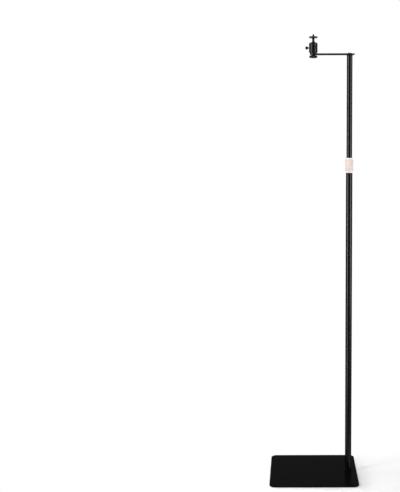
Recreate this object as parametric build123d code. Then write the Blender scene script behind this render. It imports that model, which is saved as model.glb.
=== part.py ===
from build123d import *
import os
from math import cos, radians, sqrt

# Portable projector stand: a square base, a telescoping pole at the middle of one
# side, a flat arm that brings the load back over the base, and a small ball head.
# Millimetres, +Z up. The origin is on the floor under the middle of the base, which
# is also under the head. +X runs from the head to the pole.

# Base plate and its pads
plate_width = 300.0
plate_depth = 300.0
plate_thickness = 5.0
plate_corner_radius = 20.0
plate_edge_round = 1.2
pad_diameter = 24.0
pad_height = 2.0
pad_inset = 32.0
pad_edge_chamfer = 0.5

# Screw that holds the pole on the plate
base_screw_diameter = 8.0
base_screw_head_diameter = 15.0
base_screw_engagement = 18.0
base_socket_flats = 5.0
base_socket_depth = 2.4

# Pole tubes and the plugs in them
pole_inset = 29.0
lower_diameter = 22.0
upper_diameter = 19.0
tube_wall = 1.2
lower_length = 526.0
middle_length = 528.0
upper_length = 512.0
upper_insertion = 155.0
tube_end_chamfer = 0.4
plug_length = 25.0
foot_flange_diameter = 23.4
foot_flange_height = 9.0
foot_edge_chamfer = 0.6
cap_flange_diameter = 20.0
cap_flange_height = 4.0
cap_edge_chamfer = 0.4
joiner_length = 60.0

# Clutch collar between the middle and the upper pole
collar_diameter = 28.0
collar_height = 50.0
collar_overlap = 30.0
collar_chamfer = 1.2
collar_ring_diameter = 24.0
collar_ring_height = 6.0
collar_ring_chamfer = 0.6
collar_screw_diameter = 4.4
collar_screw_height = 14.0

# Arm and the bolt on top of the pole
arm_width = 23.0
arm_thickness = 4.0
arm_edge_round = 0.8
arm_pole_overhang = 17.0
arm_head_overhang = 11.5
arm_bolt_diameter = 8.0
arm_bolt_head_diameter = 17.0
arm_bolt_rim_height = 0.8
arm_bolt_crown = 2.2
arm_bolt_engagement = 15.0
arm_socket_flats = 5.0
arm_socket_depth = 1.8

# Star knob under the arm, and its stud
thread_diameter = 6.35
star_lobes = 7
star_first_scallop = 90.0
star_diameter = 27.0
star_scallop_diameter = 8.4
star_scallop_depth = 2.4
star_lobe_round = 1.1
star_height = 7.8
star_crown = 2.0
star_edge_round = 1.0
star_hub_diameter = 13.0
star_hub_height = 2.8
stud_end_gap = 0.5

# Ball head
head_base_diameter = 22.4
head_base_height = 3.7
head_base_groove_depth = 0.5
head_base_groove_height = 0.8
head_base_chamfer = 0.4
housing_diameter = 28.5
housing_height = 32.0
housing_shoulder = 4.2
housing_bottom_chamfer = 0.7
rim_chamfer = 0.7
ball_diameter = 20.0
ball_depth = 5.8
notch_width = 12.0
notch_drop = 3.0
band_height = 5.4
band_depth = 0.6
band_drop = 16.8
band_slope = 9.0
band_spread = 55.0
stem_diameter = 8.2
stem_length = 20.0
stem_root_round = 0.8
disc_diameter = 28.6
disc_cone = 1.4
disc_rim = 4.0
disc_crown = 0.6
disc_flat_diameter = 17.0
screw_length = 7.0
screw_shank_diameter = 5.2
screw_relief = 0.4
screw_engagement = 8.0
screw_tip_chamfer = 0.6

# Side knob that grips the ball
lock_height = 15.0
lock_screw_diameter = 4.0
lock_screw_depth = 7.5
lock_screw_neck = 3.0
lock_spot_diameter = 8.4
lock_spot_depth = 0.8
lock_knob_diameter = 10.0
lock_knob_length = 9.2
lock_knob_round = 3.0
lock_flutes = 9
lock_flute_diameter = 2.0

# Radial and end clearances
plug_clearance = 0.05
turn_clearance = 0.08
slide_clearance = 0.15
seat_gap = 0.2
ball_clearance = 0.12

# Places worked out from the sizes above
plate_top = pad_height + plate_thickness
pole_x = plate_width / 2 - pole_inset
foot_top = plate_top + foot_flange_height
seam_z = foot_top + lower_length
middle_top = seam_z + middle_length
collar_bottom = middle_top - collar_overlap
collar_top = collar_bottom + collar_height
upper_bottom = middle_top - upper_insertion
upper_top = upper_bottom + upper_length
arm_bottom = upper_top + cap_flange_height
arm_top = arm_bottom + arm_thickness
housing_bottom = arm_top + head_base_height
housing_top = housing_bottom + housing_height
ball_z = housing_top - ball_depth
stem_top = ball_z + stem_length
disc_bottom = stem_top + seat_gap
disc_top = disc_bottom + disc_cone + disc_rim + disc_crown
lock_z = housing_bottom + lock_height
lower_inner = lower_diameter / 2 - tube_wall
upper_inner = upper_diameter / 2 - tube_wall

# Alignment of a cylinder that stands on its own origin
standing = (Align.CENTER, Align.CENTER, Align.MIN)


def turned(points, x=0.0):
    """Turn a half profile of (radius, height) points about the vertical axis at x."""
    profile = make_face(Polyline(*[(r, 0, z) for r, z in points], close=True))
    return Pos(x, 0, 0) * revolve(profile, Axis.Z)


def rod(diameter, bottom, top, x=0.0):
    """Plain upright cylinder between two heights."""
    return turned([(0, bottom), (diameter / 2, bottom), (diameter / 2, top), (0, top)], x)


def tube(outer, bottom, length):
    """Pole tube on the pole's axis, with its outer ends lightly broken."""
    inner = outer / 2 - tube_wall
    edge = outer / 2 - tube_end_chamfer
    top = bottom + length
    points = [
        (inner, bottom),
        (edge, bottom),
        (outer / 2, bottom + tube_end_chamfer),
        (outer / 2, top - tube_end_chamfer),
        (edge, top),
        (inner, top),
    ]
    return turned(points, pole_x)


def hex_recess(flats, depth):
    """Hexagon socket cutter standing on the XY plane."""
    return extrude(RegularPolygon(flats / 2, 6, major_radius=False), depth)


def make_base_plate():
    """Square plate with round corners and a countersunk hole under the pole."""
    outline = RectangleRounded(plate_width, plate_depth, plate_corner_radius)
    plate = extrude(outline, plate_thickness)
    plate = Pos(0, 0, pad_height) * fillet(plate.edges().filter_by(Plane.XY), plate_edge_round)
    return plate - countersink(plug_clearance, plate_top)


def countersink(clearance, top):
    """Countersunk screw form that starts at the plate's underside."""
    shank = base_screw_diameter / 2 + clearance
    head = base_screw_head_diameter / 2 + clearance
    points = [(0, pad_height), (head, pad_height), (shank, pad_height + head - shank), (shank, top), (0, top)]
    return turned(points, pole_x)


def make_base_screw():
    """Countersunk socket screw, driven up from under the plate."""
    screw = countersink(0, plate_top + base_screw_engagement)
    return screw - Pos(pole_x, 0, pad_height) * hex_recess(base_socket_flats, base_socket_depth)


def make_pads():
    """Round rubber pads under the four corners of the plate."""
    radius = pad_diameter / 2
    points = [
        (0, 0),
        (radius - pad_edge_chamfer, 0),
        (radius, pad_edge_chamfer),
        (radius, pad_height),
        (0, pad_height),
    ]
    pad = turned(points)
    x = plate_width / 2 - pad_inset
    y = plate_depth / 2 - pad_inset
    corners = {"front_left": (-x, -y), "front_right": (x, -y), "back_left": (-x, y), "back_right": (x, y)}
    return {f"base_pad_{name}": Pos(px, py, 0) * pad for name, (px, py) in corners.items()}


def make_pole_foot():
    """Flanged plug between the plate and the lower pole, tapped for the base screw."""
    bore = base_screw_diameter / 2 + plug_clearance
    bore_top = plate_top + base_screw_engagement + seat_gap
    flange = foot_flange_diameter / 2
    spigot = lower_inner - plug_clearance
    points = [
        (bore, plate_top),
        (flange, plate_top),
        (flange, foot_top - foot_edge_chamfer),
        (flange - foot_edge_chamfer, foot_top),
        (spigot, foot_top),
        (spigot, foot_top + plug_length),
        (0, foot_top + plug_length),
        (0, bore_top),
        (bore, bore_top),
    ]
    return turned(points, pole_x)


def make_pole_joiner():
    """Plug inside the seam between the lower and the middle pole."""
    diameter = 2 * (lower_inner - plug_clearance)
    return rod(diameter, seam_z - joiner_length / 2, seam_z + joiner_length / 2, pole_x)


def make_pole_collar():
    """Clutch collar: wide bore over the middle pole, close one round the upper, a ring at each end."""
    outer = collar_diameter / 2
    ring = collar_ring_diameter / 2
    wide = lower_diameter / 2 + slide_clearance
    close = upper_diameter / 2 + slide_clearance
    step = middle_top + seat_gap
    ring_top = collar_bottom + collar_ring_height
    ring_bottom = collar_top - collar_ring_height
    points = [
        (wide, collar_bottom),
        (ring - collar_ring_chamfer, collar_bottom),
        (ring, collar_bottom + collar_ring_chamfer),
        (ring, ring_top),
        (outer - collar_chamfer, ring_top),
        (outer, ring_top + collar_chamfer),
        (outer, ring_bottom - collar_chamfer),
        (outer - collar_chamfer, ring_bottom),
        (ring, ring_bottom),
        (ring, collar_top - collar_ring_chamfer),
        (ring - collar_ring_chamfer, collar_top),
        (close, collar_top),
        (close, step),
        (wide, step),
    ]
    hole = Rot(90, 0, 0) * Cylinder(collar_screw_diameter / 2, outer, align=standing)
    return turned(points, pole_x) - Pos(pole_x, 0, collar_bottom + collar_screw_height) * hole


def make_pole_cap():
    """Flanged plug in the top of the upper pole, tapped for the arm bolt."""
    bore = arm_bolt_diameter / 2 + plug_clearance
    bore_bottom = arm_bottom - arm_bolt_engagement - seat_gap
    flange = cap_flange_diameter / 2
    spigot = upper_inner - plug_clearance
    points = [
        (bore, arm_bottom),
        (flange, arm_bottom),
        (flange, upper_top + cap_edge_chamfer),
        (flange - cap_edge_chamfer, upper_top),
        (spigot, upper_top),
        (spigot, upper_top - plug_length),
        (0, upper_top - plug_length),
        (0, bore_bottom),
        (bore, bore_bottom),
    ]
    return turned(points, pole_x)


def make_arm():
    """Flat bar with round ends, drilled for the pole bolt and for the knob's stud."""
    left = -arm_head_overhang
    right = pole_x + arm_pole_overhang
    bar = extrude(SlotOverall(right - left, arm_width), arm_thickness)
    bar = Pos((left + right) / 2, 0, arm_bottom) * fillet(bar.edges().filter_by(Plane.XY), arm_edge_round)
    bar -= rod(arm_bolt_diameter + 2 * plug_clearance, arm_bottom, arm_top, pole_x)
    return bar - rod(thread_diameter + 2 * turn_clearance, arm_bottom, arm_top)


def make_arm_bolt():
    """Low domed socket bolt that clamps the arm on the pole."""
    head = arm_bolt_head_diameter / 2
    shank = arm_bolt_diameter / 2
    rim = arm_top + arm_bolt_rim_height
    crown = rim + arm_bolt_crown
    sphere_radius = (head ** 2 + arm_bolt_crown ** 2) / (2 * arm_bolt_crown)
    half = head / 2
    half_height = crown - sphere_radius + sqrt(sphere_radius ** 2 - half ** 2)
    tip = arm_bottom - arm_bolt_engagement
    sides = [(0, crown), (0, tip), (shank, tip), (shank, arm_top), (head, arm_top), (head, rim)]
    outline = Polyline(*[(r, 0, z) for r, z in sides])
    outline += ThreePointArc((head, 0, rim), (half, 0, half_height), (0, 0, crown))
    bolt = Pos(pole_x, 0, 0) * revolve(make_face(outline), Axis.Z)
    socket = hex_recess(arm_socket_flats, arm_socket_depth)
    return bolt - Pos(pole_x, 0, crown - arm_socket_depth) * socket


def make_star_knob():
    """Lobed hand knob with a crowned underside and a round hub up to the arm."""
    hub_bottom = arm_bottom - seat_gap - star_hub_height
    knob_bottom = hub_bottom - star_height
    radius = star_diameter / 2
    scallop = star_scallop_diameter / 2
    pitch = radius + scallop - star_scallop_depth
    outline = Circle(radius) - PolarLocations(pitch, star_lobes, star_first_scallop) * Circle(scallop)
    outline = fillet(outline.vertices(), star_lobe_round)
    lobed = Pos(0, 0, knob_bottom) * extrude(outline, star_height)
    sphere_radius = (radius ** 2 + star_crown ** 2) / (2 * star_crown)
    dome = Pos(0, 0, knob_bottom + sphere_radius) * Sphere(sphere_radius)
    crowned = lobed & dome
    top_edges = crowned.edges().group_by(Axis.Z)[-1]
    crowned = fillet(top_edges, star_edge_round)
    return crowned + rod(star_hub_diameter, hub_bottom, arm_bottom - seat_gap)


def make_knob_stud():
    """Threaded stud of the star knob, up through the arm into the head."""
    return rod(thread_diameter, arm_bottom - seat_gap, housing_bottom - stud_end_gap)


def make_head_base():
    """Grooved ring that the head turns on, drilled for the knob's stud."""
    radius = head_base_diameter / 2
    bore = thread_diameter / 2 + turn_clearance
    middle = (arm_top + housing_bottom) / 2
    half = head_base_groove_height / 2
    floor = radius - head_base_groove_depth
    points = [
        (bore, arm_top),
        (radius - head_base_chamfer, arm_top),
        (radius, arm_top + head_base_chamfer),
        (radius, middle - half),
        (floor, middle - half),
        (floor, middle + half),
        (radius, middle + half),
        (radius, housing_bottom - head_base_chamfer),
        (radius - head_base_chamfer, housing_bottom),
        (bore, housing_bottom),
    ]
    return turned(points)


def make_ball_housing():
    """Ball socket: round shoulders, a notch at the back and a slanted sunken band on the pole side."""
    radius = housing_diameter / 2
    body = rod(housing_diameter, housing_bottom, housing_top)
    body = fillet(body.edges().group_by(Axis.Z)[-1], housing_shoulder)
    body = chamfer(body.edges().group_by(Axis.Z)[0], housing_bottom_chamfer)

    # Sunken band, lower on the notch side, that fades out at its spread either side of the pole's direction
    band_z = housing_top - band_drop
    fall = radius * (1 - cos(radians(band_spread))) - band_depth
    offset = band_depth * (radius - band_depth / 2) / fall
    core = Cylinder(radius - band_depth + offset, band_height)
    ring = Cylinder(2 * radius, band_height) - Pos(-offset, 0, 0) * core
    body -= Pos(0, 0, band_z) * Rot(-band_slope, 0, 0) * ring

    # Spherical socket and its bevelled mouth
    socket = ball_diameter / 2 + ball_clearance
    body -= Pos(0, 0, ball_z) * Sphere(socket)
    mouth_z = housing_top - rim_chamfer
    mouth = sqrt(socket ** 2 - (mouth_z - ball_z) ** 2)
    body -= turned([(0, mouth_z), (mouth, mouth_z), (mouth + rim_chamfer, housing_top), (0, housing_top)])

    # Notch that lets the stem lie level at the back
    notch_z = ball_z - notch_drop
    slot = Rot(-90, 0, 0) * Cylinder(notch_width / 2, 2 * radius, align=standing)
    rise = housing_top - notch_z
    slot += Box(notch_width, 2 * radius, rise, align=(Align.CENTER, Align.MIN, Align.MIN))
    body -= Pos(0, 0, notch_z) * slot

    # Tapped hole and spot face for the lock screw
    hole_radius = lock_screw_diameter / 2 + turn_clearance
    hole = Cylinder(hole_radius, lock_screw_depth + seat_gap, align=standing)
    spot = Cylinder(lock_spot_diameter / 2, radius, align=standing)
    body -= Pos(-radius, 0, lock_z) * Rot(0, 90, 0) * hole
    return body - Pos(lock_spot_depth - radius, 0, lock_z) * Rot(0, -90, 0) * spot


def make_lock_screw():
    """Screw of the side knob, from inside the housing out to the knob."""
    length = lock_screw_depth + lock_screw_neck
    screw = Cylinder(lock_screw_diameter / 2, length, align=standing)
    return Pos(lock_screw_depth - housing_diameter / 2, 0, lock_z) * Rot(0, -90, 0) * screw


def make_lock_knob():
    """Small fluted knob on the end of the lock screw."""
    radius = lock_knob_diameter / 2
    knob = Cylinder(radius, lock_knob_length, align=standing)
    knob = fillet(knob.edges().filter_by(GeomType.CIRCLE), lock_knob_round)
    flute = Cylinder(lock_flute_diameter / 2, lock_knob_length, align=standing)
    knob -= PolarLocations(radius, lock_flutes) * flute
    return Pos(-housing_diameter / 2 - lock_screw_neck, 0, lock_z) * Rot(0, -90, 0) * knob


def make_ball_stem():
    """Ball and stem in one piece, drilled at the top for the mount screw."""
    stem = rod(stem_diameter, ball_z, stem_top)
    ball = Pos(0, 0, ball_z) * Sphere(ball_diameter / 2)
    piece = ball + stem
    root_z = ball_z + sqrt(ball_diameter ** 2 - stem_diameter ** 2) / 2
    root = piece.edges().filter_by(GeomType.CIRCLE).sort_by_distance(Vertex(0, 0, root_z))[0]
    piece = fillet(root, stem_root_round)
    return piece - rod(screw_shank_diameter + 2 * plug_clearance, stem_top - screw_engagement, stem_top)


def make_lock_disc():
    """Round disc with a crowned top and a conical underside, turned on the mount screw."""
    radius = disc_diameter / 2
    bore = screw_shank_diameter / 2 + turn_clearance
    rim_bottom = disc_bottom + disc_cone
    rim_top = rim_bottom + disc_rim
    points = [
        (bore, disc_bottom),
        (stem_diameter / 2, disc_bottom),
        (radius, rim_bottom),
        (radius, rim_top),
        (disc_flat_diameter / 2, disc_top),
        (bore, disc_top),
    ]
    return turned(points)


def make_mount_screw():
    """Camera thread over a thinner shank, set into the stem and standing out of the disc."""
    radius = thread_diameter / 2
    shank = screw_shank_diameter / 2
    thread_bottom = disc_top + screw_relief
    bottom = stem_top - screw_engagement
    tip = disc_top + screw_length
    points = [
        (0, bottom),
        (shank, bottom),
        (shank, thread_bottom),
        (radius, thread_bottom),
        (radius, tip - screw_tip_chamfer),
        (radius - screw_tip_chamfer, tip),
        (0, tip),
    ]
    return turned(points)


pieces = {
    "base_plate": make_base_plate(),
    "base_screw": make_base_screw(),
    "pole_foot": make_pole_foot(),
    "lower_pole": tube(lower_diameter, foot_top, lower_length),
    "pole_joiner": make_pole_joiner(),
    "middle_pole": tube(lower_diameter, seam_z, middle_length),
    "pole_collar": make_pole_collar(),
    "upper_pole": tube(upper_diameter, upper_bottom, upper_length),
    "pole_cap": make_pole_cap(),
    "arm": make_arm(),
    "arm_bolt": make_arm_bolt(),
    "star_knob": make_star_knob(),
    "knob_stud": make_knob_stud(),
    "head_base": make_head_base(),
    "ball_housing": make_ball_housing(),
    "lock_screw": make_lock_screw(),
    "lock_knob": make_lock_knob(),
    "ball_stem": make_ball_stem(),
    "lock_disc": make_lock_disc(),
    "mount_screw": make_mount_screw(),
}
pieces.update(make_pads())

os.makedirs("parts", exist_ok=True)
for name, piece in pieces.items():
    export_step(piece, f"parts/{name}.step")
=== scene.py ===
"""Looks of a portable projector stand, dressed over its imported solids.

Metres, +Z up. The origin is on the floor under the ball head, and +X runs to the pole.
"""
import logging
import math
from collections.abc import Callable, Sequence
from dataclasses import dataclass, replace
from enum import Enum
from functools import lru_cache

import bmesh
import bpy
from mathutils import Matrix, Vector

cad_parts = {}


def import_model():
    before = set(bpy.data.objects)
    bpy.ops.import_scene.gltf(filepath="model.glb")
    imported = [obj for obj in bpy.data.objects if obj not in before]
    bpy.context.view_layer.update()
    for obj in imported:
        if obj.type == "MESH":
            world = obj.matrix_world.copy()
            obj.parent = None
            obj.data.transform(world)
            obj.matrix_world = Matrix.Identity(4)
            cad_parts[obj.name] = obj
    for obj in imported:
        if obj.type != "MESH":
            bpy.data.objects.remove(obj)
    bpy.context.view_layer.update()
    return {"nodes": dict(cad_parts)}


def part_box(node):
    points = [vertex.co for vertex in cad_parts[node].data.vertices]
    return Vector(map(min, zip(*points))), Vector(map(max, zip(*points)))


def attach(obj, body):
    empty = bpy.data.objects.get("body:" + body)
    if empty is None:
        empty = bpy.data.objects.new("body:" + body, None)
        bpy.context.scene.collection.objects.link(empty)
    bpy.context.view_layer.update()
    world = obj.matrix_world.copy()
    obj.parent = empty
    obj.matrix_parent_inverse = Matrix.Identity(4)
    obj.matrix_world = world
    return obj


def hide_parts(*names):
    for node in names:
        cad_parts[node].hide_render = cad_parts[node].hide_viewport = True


LOG = logging.getLogger("stand")
MM = 0.001
TURN = 2 * math.pi
QUARTER = TURN / 4
EDGE_LAYER = "edge"
SMOOTH_ANGLE = math.radians(32)
BEVEL_ANGLE = math.radians(40)
BEVEL_STEPS = 3
ARC_STEPS = 5
COARSE_STEPS = 3
HEXAGON_SIDES = 6
HOLD_SHARE = 0.35
HOLD_PARTS = 3
FULL_WEAR = 1.0
SOFT_WEAR = 0.6
RIB_WEAR = 0.5
ARC_END_WEAR = 0.4
NOISE_LOW = 0.3
NOISE_HIGH = 0.7
NOISE_ROUGHNESS = 0.55
FINE_DETAIL = 4.0
RUB_SCALE = 12
SMEAR_SCALE = 3
COLOUR_MIX_INPUTS = (0, 6, 7)
COLOUR_MIX_RESULT = 2
WHITE = (1.0, 1.0, 1.0, 1.0)
PAD_NODES = [f"base_pad_{corner}" for corner in ("front_left", "front_right", "back_left", "back_right")]

Colour = tuple[float, float, float]
Curve = Callable[[float], float]
Flat = list[tuple[float, float]]
Piece = bpy.types.Object
Node = bpy.types.Node
Socket = bpy.types.NodeSocket


class Grain(Enum):
    """How the skin of a finish is textured."""

    PEEL = "powder coat with a fine orange peel"
    TURNED = "fine rings left by a lathe"
    MOULDED = "even grain of a moulded part"


class Body(str, Enum):
    """Moving bodies of the stand."""

    BASE = "base"
    COLLAR = "collar"
    MAST = "mast"
    ARM = "arm"
    STAR_KNOB = "star_knob"
    HEAD = "head"
    LOCK_KNOB = "lock_knob"
    BALL = "ball"
    LOCK_DISC = "lock_disc"


class NodeCanvas:
    """A node tree with short ways to add and join its nodes."""

    def __init__(self, tree: bpy.types.NodeTree) -> None:
        """Work on a tree."""
        self.tree = tree

    def feed(self, socket: Socket, value: object) -> None:
        """Link a source to an input, or set the input's own value.

        Args:
            socket: The input.
            value: Source socket, or a plain value that fits the input.
        """
        if isinstance(value, Socket):
            self.tree.links.new(value, socket)
        else:
            socket.default_value = value

    def fill(self, node: Node, **values: object) -> Node:
        """Fill a node's inputs and settings by name.

        Args:
            node: The node.
            values: Inputs, with capitals and _ for a space, and settings, in lower case.

        Returns:
            The same node.
        """
        for name, value in values.items():
            if name.islower():
                setattr(node, name, value)
            else:
                self.feed(node.inputs[name.replace("_", " ")], value)
        return node

    def add(self, kind: str, *first: object, **named: object) -> Node:
        """Add a node and fill its inputs.

        Args:
            kind: Blender's node type.
            first: Values or sources of its first inputs, in order.
            named: Other inputs and settings, by name.

        Returns:
            The new node.
        """
        node = self.tree.nodes.new(kind)
        for socket, value in zip(node.inputs, first):
            self.feed(socket, value)
        return self.fill(node, **named)

    def number(self, operation: str, first: object, second: object) -> Socket:
        """Work out a number from two others."""
        return self.add("ShaderNodeMath", first, second, operation=operation).outputs[0]

    def ramp(self, value: Socket, start: float, end: float, low: float = 0.0, high: float = 1.0) -> Socket:
        """Map a value between start and end onto the range from low to high."""
        limits = {"From_Min": start, "From_Max": end, "To_Min": low, "To_Max": high}
        return self.add("ShaderNodeMapRange", value, **limits).outputs["Result"]

    def mixed(self, share: Socket, first: Socket, second: Socket) -> Socket:
        """Mix two shaders by the share of the second."""
        return self.add("ShaderNodeMixShader", share, first, second).outputs[0]


class ShaderCanvas(NodeCanvas):
    """A new material that starts from a single Principled shader."""

    def __init__(self, name: str) -> None:
        """Make the material.

        Args:
            name: Its name.
        """
        self.material = bpy.data.materials.new(name)
        self.material.use_nodes = True
        super().__init__(self.material.node_tree)
        self.shader = self.tree.nodes["Principled BSDF"]

    def coords(self, *scale: float) -> Socket:
        """Give the piece's own coordinates, stretched along X, Y and Z."""
        place = self.add("ShaderNodeTexCoord").outputs["Object"]
        return self.add("ShaderNodeMapping", Vector=place, Scale=scale).outputs["Vector"]

    def noise(self, place: Socket, scale: float, detail: float = 3.0) -> Socket:
        """Give a noise value at a place, with its cells in a metre and its octaves."""
        values = {"Vector": place, "Scale": scale, "Detail": detail, "Roughness": NOISE_ROUGHNESS}
        return self.add("ShaderNodeTexNoise", **values).outputs["Fac"]

    def span(self, value: Socket, low: float, high: float) -> Socket:
        """Map the middle of a noise value onto a range."""
        return self.ramp(value, NOISE_LOW, NOISE_HIGH, low, high)

    def blend(self, share: Socket, first: object, second: object) -> Socket:
        """Mix two colours.

        Args:
            share: Share of the second colour.
            first: Colour at 0, or its source.
            second: Colour at 1, or its source.

        Returns:
            The mixed colour's socket.
        """
        node = self.add("ShaderNodeMix", data_type="RGBA")
        for index, value in zip(COLOUR_MIX_INPUTS, (share, first, second)):
            self.feed(node.inputs[index], value if isinstance(value, Socket) else (*value, 1.0))
        return node.outputs[COLOUR_MIX_RESULT]

    def glow(self, strength: float) -> Socket:
        """Give a white glow."""
        return self.add("ShaderNodeEmission", WHITE, strength).outputs[0]


def grey(level: float, blue: float | None = None) -> Colour:
    """Give a grey whose blue may lie a little apart."""
    return (level, level, level if blue is None else blue)


@dataclass(frozen=True)
class Finish:
    """One surface finish of the stand.

    Colours are linear. Depths are in metres and scales are cells in a metre.
    """

    name: str
    slot: str
    dark: Colour
    light: Colour
    worn: Colour
    grain: Grain
    metallic: float = 0.0
    specular: float = 0.3
    edge_tint: float = 1.0
    rough_low: float = 0.4
    rough_high: float = 0.5
    mottle_scale: float = 40.0
    grain_scale: float = 900.0
    grain_depth: float = 0.02 * MM
    bump: float = 0.35
    wear: float = 0.5
    ring_stretch: float = 0.02
    ring_detail: float = 2.0

    @lru_cache(maxsize=None)
    def material(self) -> bpy.types.Material:
        """Make the finish's material once.

        Returns:
            The material.
        """
        canvas = ShaderCanvas(self.name)
        plain = canvas.coords(1, 1, 1)
        mottle = canvas.span(canvas.noise(plain, self.mottle_scale), 0, 1)
        colour = canvas.blend(mottle, self.dark, self.light)
        edge = canvas.add("ShaderNodeAttribute", attribute_name=EDGE_LAYER)
        rub = canvas.span(canvas.noise(plain, RUB_SCALE * self.mottle_scale), 0, self.wear)
        worn = canvas.number("MULTIPLY", edge.outputs["Fac"], rub)
        smear = canvas.noise(plain, SMEAR_SCALE * self.mottle_scale, FINE_DETAIL)
        height = self.skin(canvas, plain)
        relief = canvas.add("ShaderNodeBump", Strength=self.bump, Distance=self.grain_depth, Height=height)
        canvas.fill(
            canvas.shader, Metallic=self.metallic, Specular_IOR_Level=self.specular,
            Specular_Tint=(*grey(self.edge_tint), 1.0), Base_Color=canvas.blend(worn, colour, self.worn),
            Roughness=canvas.span(smear, self.rough_low, self.rough_high), Normal=relief.outputs["Normal"],
        )
        return canvas.material

    def skin(self, canvas: ShaderCanvas, plain: Socket) -> Socket:
        """Give the height of the finish's grain.

        Args:
            canvas: Material that is being made.
            plain: The piece's own coordinates.

        Returns:
            The height's socket.
        """
        if self.grain is Grain.TURNED:
            rings = canvas.coords(self.ring_stretch, self.ring_stretch, 1)
            return canvas.noise(rings, self.grain_scale, self.ring_detail)
        if self.grain is Grain.MOULDED:
            cells = canvas.add("ShaderNodeTexVoronoi", Vector=plain, Scale=self.grain_scale)
            return cells.outputs["Distance"]
        return canvas.noise(plain, self.grain_scale, FINE_DETAIL)


PLATE_COAT = Finish(
    "plate_powder_coat", "black_steel", grey(0.0019, 0.0020), grey(0.0026, 0.0027), grey(0.01), Grain.PEEL,
    specular=0.0019, rough_low=0.22, rough_high=0.3, grain_scale=1400, bump=0.12,
)
POLE_COAT = Finish(
    "pole_satin_coat", "black_steel", grey(0.0205, 0.0208), grey(0.023, 0.0233), grey(0.05), Grain.PEEL,
    metallic=1.0, edge_tint=0.1, rough_low=0.24, rough_high=0.3, grain_scale=1100, bump=0.06,
)
# The arm has the poles' satin coat; this lighter copy of it paints the brighter sheen that the flat bar
# shows under the lamps.
ARM_COAT_PAINTED_SHEEN = replace(
    POLE_COAT, name="arm_satin_coat_painted_sheen", dark=grey(0.036, 0.0364), light=grey(0.041, 0.0414), worn=grey(0.07),
    edge_tint=0.12, rough_low=0.34, rough_high=0.4,
)
PLASTIC = Finish(
    "knob_black_plastic", "black_plastic", grey(0.006, 0.0062), grey(0.0085, 0.0088), grey(0.022),
    Grain.MOULDED, specular=0.12, grain_scale=1800, grain_depth=0.03 * MM, bump=0.4,
)
FOOT_COAT = replace(
    PLASTIC, name="foot_matte_black", dark=grey(0.0022, 0.0023), light=grey(0.0032, 0.0033),
    worn=grey(0.008), specular=0.01, rough_low=0.45, rough_high=0.55, bump=0.3,
)
RUBBER = Finish(
    "pad_black_rubber", "black_rubber", grey(0.007), grey(0.011), grey(0.03), Grain.MOULDED, specular=0.03,
    rough_low=0.75, rough_high=0.85, grain_scale=1200, grain_depth=0.05 * MM, bump=0.5,
)
ROSE_GOLD = Finish(
    "rose_gold_satin", "rose_gold", (0.68, 0.58, 0.532), (0.71, 0.61, 0.562), (0.78, 0.70, 0.66),
    Grain.TURNED, metallic=0.08, specular=0.06, rough_low=0.56, rough_high=0.64, grain_scale=2600,
    grain_depth=0.008 * MM, bump=0.25, wear=0.9,
)
# Polished rose gold of the collar's end rings and its set screw; on the set screw its paler colour also
# paints a glint.
ROSE_POLISHED_AND_GLINT = Finish(
    "rose_gold_polished_and_glint", "rose_gold", (0.735, 0.668, 0.652), (0.765, 0.698, 0.682), (0.82, 0.76, 0.74),
    Grain.TURNED, metallic=0.12, specular=0.12, rough_low=0.42, rough_high=0.48, grain_scale=3200,
    grain_depth=0.004 * MM, bump=0.2, wear=0.6,
)
ANODISED = Finish(
    "head_black_anodised", "black_anodised", grey(0.018, 0.0183), grey(0.021, 0.0213), grey(0.06, 0.061),
    Grain.TURNED, metallic=1.0, edge_tint=0.12, rough_low=0.3, rough_high=0.37, grain_scale=3000,
    grain_depth=0.008 * MM, bump=0.2,
)
DISC_ANODISED = replace(
    ANODISED, name="disc_black_anodised", dark=grey(0.017, 0.0172), light=grey(0.0205, 0.0208),
    edge_tint=0.8, rough_low=0.34, rough_high=0.42,
)
BAND_PAINT = Finish(
    "band_matte_black", "black_anodised", grey(0.0025), grey(0.004), grey(0.012), Grain.MOULDED,
    specular=0.02, rough_low=0.6, rough_high=0.7, grain_scale=2200, grain_depth=0.04 * MM,
)
POLISHED = Finish(
    "stem_polished_black", "polished_black", grey(0.026, 0.0265), grey(0.031, 0.0315), grey(0.08, 0.082),
    Grain.TURNED, metallic=1.0, edge_tint=0.12, rough_low=0.18, rough_high=0.23, grain_scale=4000,
    grain_depth=0.003 * MM, bump=0.15,
)
BLACK_OXIDE = Finish(
    "screw_black_oxide", "dark_screw", grey(0.012, 0.0125), grey(0.02, 0.0205), grey(0.09), Grain.TURNED,
    metallic=1.0, specular=0.5, rough_low=0.34, rough_high=0.44, grain_scale=3500,
    grain_depth=0.006 * MM, bump=0.25, wear=0.7,
)


@dataclass(frozen=True)
class Box:
    """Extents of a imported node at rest."""

    low: Vector
    high: Vector

    @classmethod
    def of(cls, node: str) -> "Box":
        """Read a node's extents from the frame."""
        return cls(*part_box(node))

    def mid(self, axis: str) -> float:
        """Middle of the node along x, y or z."""
        return (getattr(self.low, axis) + getattr(self.high, axis)) / 2

    @property
    def radius(self) -> float:
        """Half the node's width, to a tenth of a millimetre."""
        return round((self.high.y - self.low.y) / 2, 4)


@dataclass(frozen=True)
class Ring:
    """One closed loop of points of a lofted piece, and how worn it is."""

    points: list[Vector]
    edge: float = 0.0


@dataclass(frozen=True)
class Corner:
    """One corner of a half profile: its reach from the axis, its height and its rounding."""

    reach: float
    z: float
    rounding: float = 0.0

    @property
    def place(self) -> Vector:
        """The corner as a flat vector."""
        return Vector((self.reach, self.z))


@dataclass(frozen=True)
class Spot:
    """One point of a finished half profile."""

    reach: float
    z: float
    edge: float = 0.0


def ledge(inner: float, outer: float, low: float, high: float, *soft: float) -> list[Corner]:
    """Give the half profile of a plain disc or tube, with the roundings of its two outer corners."""
    side = [Corner(outer, low, soft[0]), Corner(outer, high, soft[-1])]
    return [Corner(inner, low), *side, Corner(inner, high)]


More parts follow.
